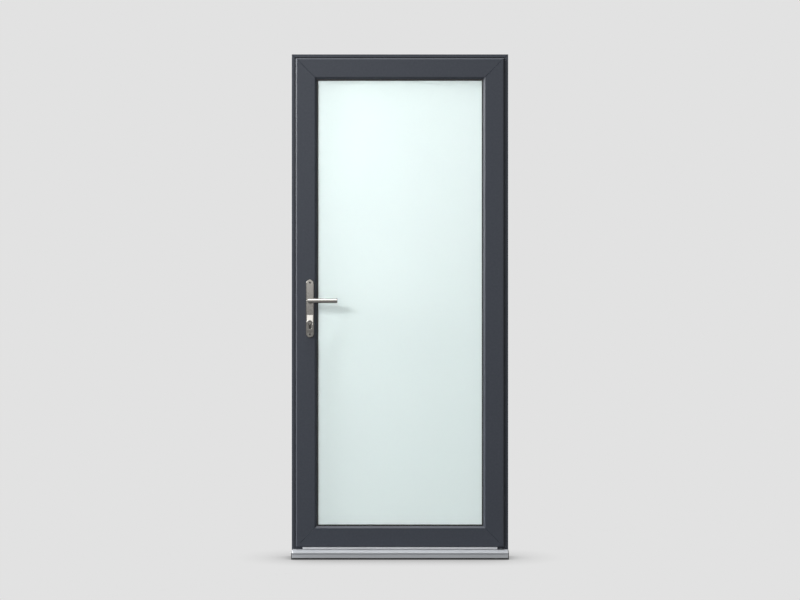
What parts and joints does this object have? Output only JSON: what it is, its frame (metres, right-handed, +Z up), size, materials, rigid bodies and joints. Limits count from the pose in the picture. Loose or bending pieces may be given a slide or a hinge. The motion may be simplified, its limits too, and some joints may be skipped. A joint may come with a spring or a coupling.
{
  "type": "glass door",
  "caption": "Glazed single-leaf door in an anthracite lapped frame on a ramped silver threshold, with a lever handle, a cylinder lock and hidden hinges.",
  "frame": {"origin": "underside of the threshold's bed at mid width, in the frame's front plane", "axes": "+Z up, +X to the right seen from the front, +Y away from the viewer into the wall"},
  "size_m": [0.9, 0.183, 2.095],
  "materials": {
    "anthracite_aluminium": "anthracite powder coat, satin",
    "silver_aluminium": "silver anodised",
    "black_rubber": "matte",
    "clear_glass": "clear float",
    "satin_glass": "satin, diffusing",
    "grey_plastic": "moulded",
    "satin_nickel": "satin nickel",
    "dark_steel": "dark coated or blackened",
    "bright_steel": "zinc plated"
  },
  "bodies": {
    "frame": {"left_jamb": "anthracite_aluminium", "right_jamb": "anthracite_aluminium", "head": "anthracite_aluminium", "frame_corner_cleats": "silver_aluminium", "threshold": "silver_aluminium", "threshold_bed": "black_rubber", "threshold_end_caps": "grey_plastic", "threshold_upstand": "silver_aluminium", "stop_seal": "black_rubber", "hinge_frame_leaves": "dark_steel", "hinge_pins": "bright_steel", "hinge_frame_screws": "bright_steel", "centre_keep": "bright_steel", "bolt_keeps": "bright_steel", "keep_screws": "bright_steel"},
    "leaf": {"left_stile": "anthracite_aluminium", "right_stile": "anthracite_aluminium", "top_rail": "anthracite_aluminium", "bottom_rail": "anthracite_aluminium", "sash_corner_cleats": "silver_aluminium", "lap_seal": "black_rubber", "hinge_sash_leaves": "dark_steel", "hinge_sash_screws": "bright_steel", "front_gasket": "black_rubber", "rear_gasket": "black_rubber", "outer_pane": "satin_glass", "inner_pane": "clear_glass", "edge_sealant": "black_rubber", "spacer": "silver_aluminium", "glazing_packers": "grey_plastic", "left_bead": "anthracite_aluminium", "right_bead": "anthracite_aluminium", "top_bead": "anthracite_aluminium", "bottom_bead": "anthracite_aluminium", "lock_faceplate": "bright_steel", "faceplate_screws": "bright_steel", "lock_case": "bright_steel", "bolt_cases": "bright_steel", "outer_handle_plate": "satin_nickel", "inner_handle_plate": "satin_nickel", "handle_screws": "dark_steel", "cylinder_body": "dark_steel"},
    "lever_set": {"outer_lever": "satin_nickel", "inner_lever": "satin_nickel", "spindle": "bright_steel", "follower": "bright_steel"},
    "latch_bolt": {"latch": "bright_steel"},
    "bolts": {"deadbolt": "bright_steel", "locking_bolts": "bright_steel"},
    "rods": {"drive_rods": "bright_steel"},
    "key_plug": {"outer_plug": "satin_nickel", "cam": "bright_steel"},
    "thumb_plug": {"inner_plug": "satin_nickel"}
  },
  "joints": [
    {"name": "leaf_swing", "type": "hinge", "parent": "frame", "child": "leaf", "pos_m": [0.428, -0.007, 1.07], "axis": [0, 0, 1], "range_deg": [0, 100]},
    {"name": "lever_turn", "type": "hinge", "parent": "leaf", "child": "lever_set", "pos_m": [-0.3735, 0.017, 1.07], "axis": [0, 1, 0], "range_deg": [0, 35], "stiffness_Nm_per_rad": 2, "springref_deg": -28.65},
    {"name": "latch_slide", "type": "slide", "parent": "leaf", "child": "latch_bolt", "axis": [-1, 0, 0], "range_m": [0, 0.012]},
    {"name": "key_turn", "type": "hinge", "parent": "leaf", "child": "key_plug", "pos_m": [-0.3735, 0.017, 0.978], "axis": [0, -1, 0], "range_deg": [0, 360]},
    {"name": "bolts_slide", "type": "slide", "parent": "leaf", "child": "bolts", "axis": [-1, 0, 0], "range_m": [0, 0.02]},
    {"name": "rods_slide", "type": "slide", "parent": "leaf", "child": "rods", "axis": [0, 0, 1], "range_m": [0, 0.018]},
    {"name": "inner_key_turn", "type": "hinge", "parent": "leaf", "child": "thumb_plug", "pos_m": [-0.3735, 0.017, 0.978], "axis": [0, 1, 0], "range_deg": [0, 360]}
  ],
  "couplings": [
    {"joint": "key_turn", "follows": "bolts_slide", "rad_per_m": 314.15},
    {"joint": "rods_slide", "follows": "bolts_slide", "ratio": 0.9}
  ]
}
